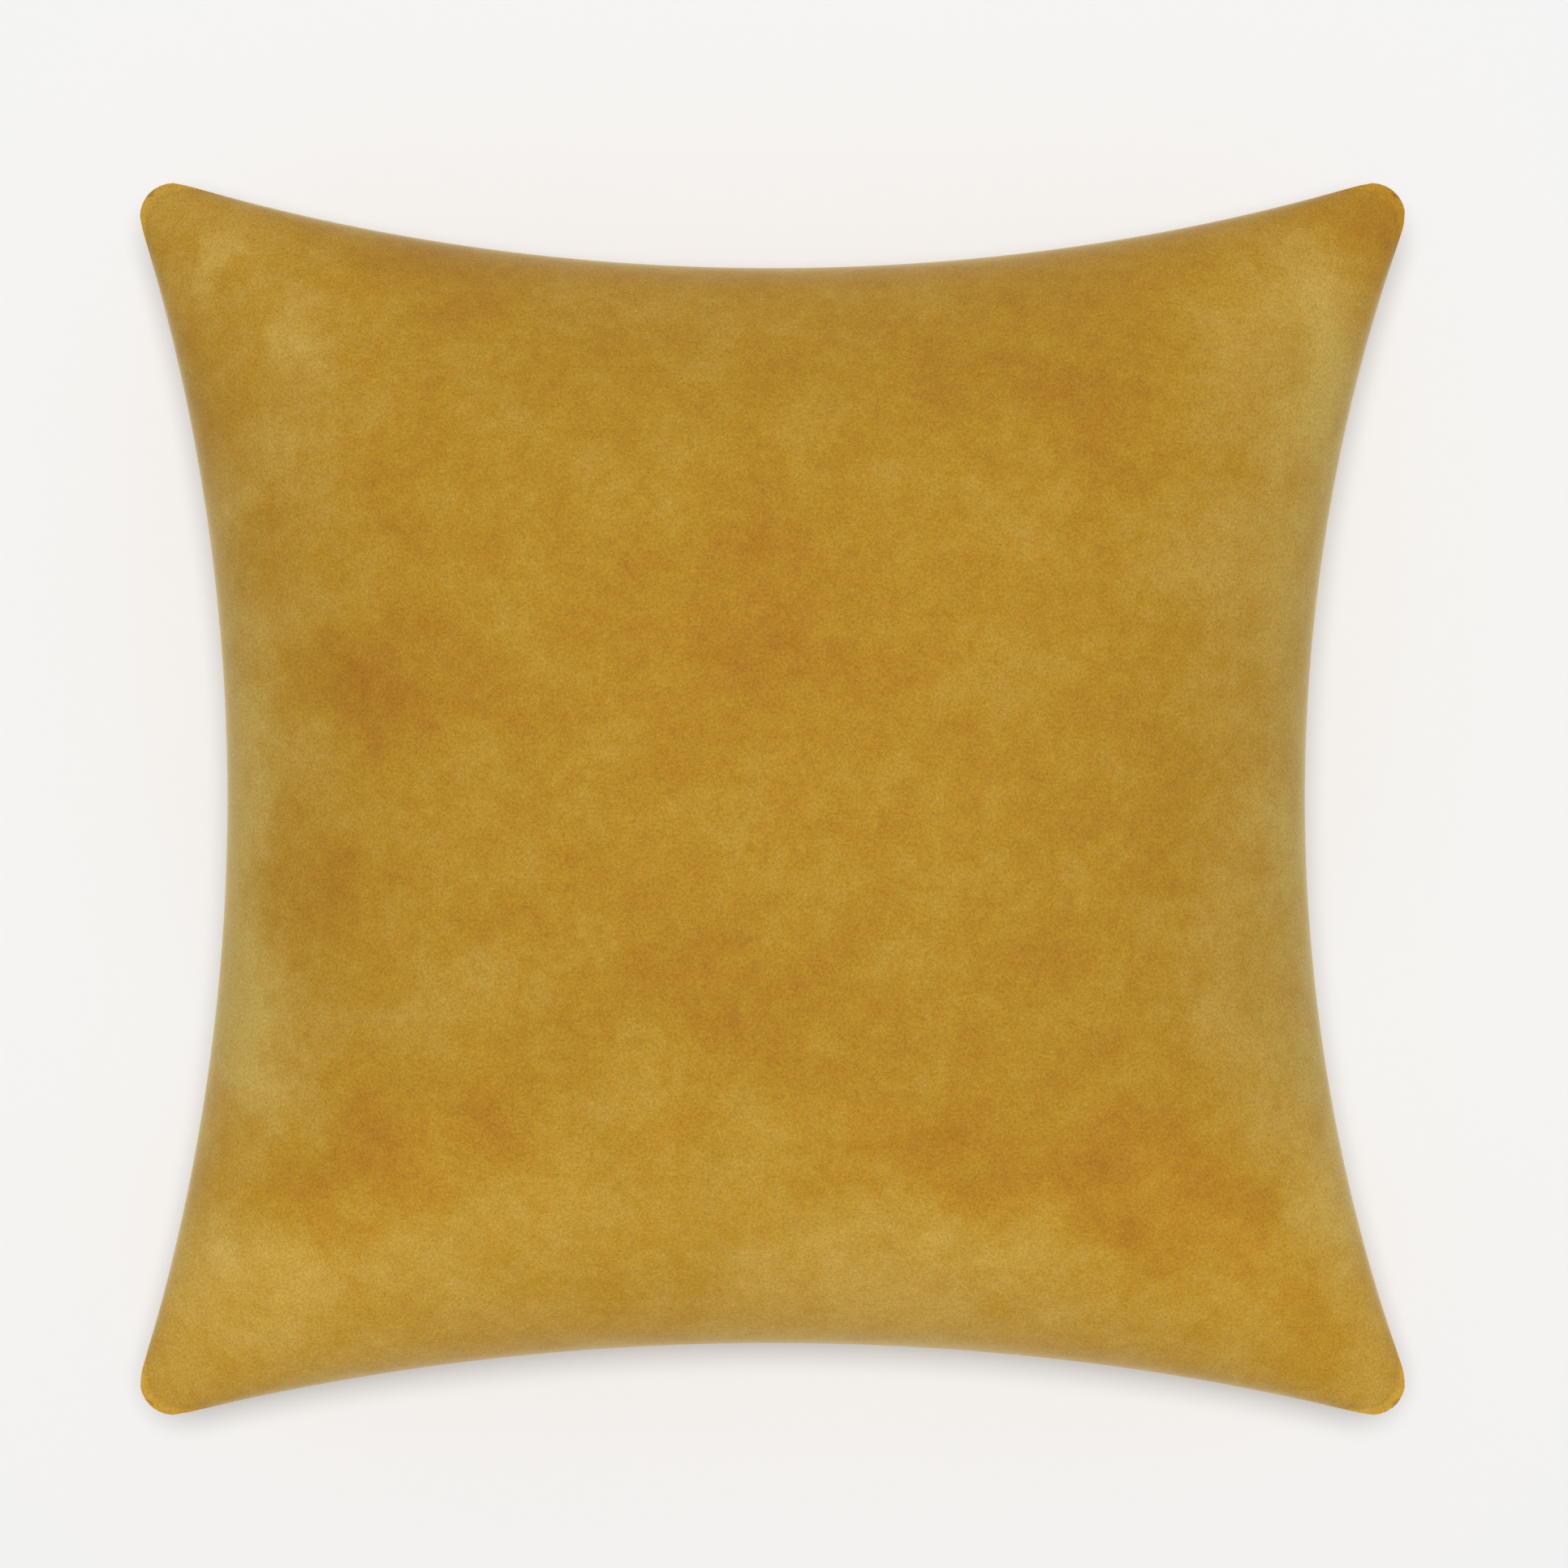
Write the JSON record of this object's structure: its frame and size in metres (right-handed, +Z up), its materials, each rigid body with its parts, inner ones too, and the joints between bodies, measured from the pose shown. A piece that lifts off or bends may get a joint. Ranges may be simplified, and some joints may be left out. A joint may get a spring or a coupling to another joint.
{
  "type": "throw pillow",
  "caption": "Square mustard velvet throw pillow with hollow edges and round ears: zipped cover with a concealed back zip, over a filled inner pad.",
  "frame": {"origin": "on the surface the cushion lies on, under the middle of its outline", "axes": "+Z up out of the front face, +Y towards the top edge, +X towards the right edge seen from the front"},
  "size_m": [0.4895, 0.4762, 0.172],
  "materials": {
    "velvet": "short mustard velvet pile, soft sheen, brushed patches",
    "cover_thread": "spun polyester sewing thread",
    "zip_tape": "woven polyester tape",
    "zip_coil": "dyed nylon monofilament",
    "zip_metal": "die-cast zinc, antique brass plating, tumbled",
    "label_tape": "blank woven satin tape",
    "pad_cotton": "unbleached plain-weave cotton",
    "pad_thread": "spun polyester sewing thread",
    "fibre_fill": "loose hollow-fibre filling"
  },
  "bodies": {
    "cushion": {"front_panel": "velvet", "back_panel": "velvet", "back_strip": "velvet", "seam_needle_thread": "cover_thread", "seam_bobbin_thread": "cover_thread", "seam_overlock": "cover_thread", "zip_tape_upper": "zip_tape", "zip_tape_lower": "zip_tape", "zip_coil_upper": "zip_coil", "zip_coil_lower": "zip_coil", "zip_top_stops": "zip_metal", "zip_bottom_stop": "zip_metal", "zip_stitching_upper": "cover_thread", "zip_stitching_lower": "cover_thread", "zip_bartacks": "cover_thread", "care_label": "label_tape", "pad_front_panel": "pad_cotton", "pad_back_panel": "pad_cotton", "pad_seam_thread": "pad_thread", "pad_closing_thread": "pad_thread", "pad_fill": "fibre_fill"},
    "slider": {"zip_slider": "zip_metal"},
    "pull": {"zip_pull": "zip_metal"}
  },
  "joints": [
    {"name": "zip_travel", "type": "hinge", "parent": "cushion", "child": "slider", "pos_m": [0, -1.17264, 0.065], "axis": [0, 0, -1], "range_deg": [0, 17.79]},
    {"name": "pull_turn", "type": "hinge", "parent": "slider", "child": "pull", "pos_m": [-0.14921, -0.21915, 0.06462], "axis": [-0.0452, 0.2889, -0.9563], "range_deg": [0, 170]}
  ]
}
